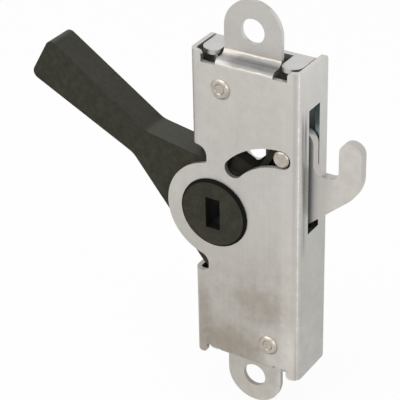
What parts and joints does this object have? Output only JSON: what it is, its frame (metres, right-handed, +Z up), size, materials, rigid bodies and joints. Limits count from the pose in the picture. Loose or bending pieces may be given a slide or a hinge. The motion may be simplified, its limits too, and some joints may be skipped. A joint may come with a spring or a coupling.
{
  "type": "sliding door lock",
  "caption": "Mortise lock for a sliding door: folded steel case with round screw tabs, a black turn lever on a slotted hub, and a hook bolt that swings out of the side.",
  "frame": {"origin": "midway between the screw holes, on the back faces of the tabs", "axes": "+X to the hook's side, +Y into the door from the front plate, +Z up along the line of the screw holes"},
  "size_m": [0.0924, 0.0149, 0.1158],
  "materials": {
    "satin_steel": "satin stainless sheet",
    "hook_steel": "satin stainless plate",
    "rivet_steel": "turned steel, slightly warm",
    "spring_steel": "dark spring steel",
    "black_lever": "matte olive-black moulding"
  },
  "bodies": {
    "case": {"front_cover": "satin_steel", "back_case": "satin_steel", "hook_pivot_stud": "rivet_steel", "hook_washer": "rivet_steel", "upper_rivet_post": "rivet_steel", "lower_rivet_post": "rivet_steel", "detent_spring": "spring_steel"},
    "lever": {"lever": "black_lever"},
    "hook": {"hook_bolt": "hook_steel", "guide_pin": "rivet_steel"}
  },
  "joints": [
    {"name": "lever_turn", "type": "hinge", "parent": "case", "child": "lever", "pos_m": [-0.0088, 0, 0], "axis": [0, -1, 0], "range_deg": [0, 30]},
    {"name": "hook_swing", "type": "hinge", "parent": "case", "child": "hook", "pos_m": [0.0104, 0, 0.0022], "axis": [0, -1, 0], "range_deg": [0, 47]}
  ],
  "couplings": [
    {"joint": "hook_swing", "follows": "lever_turn", "ratio": 1.5667}
  ]
}
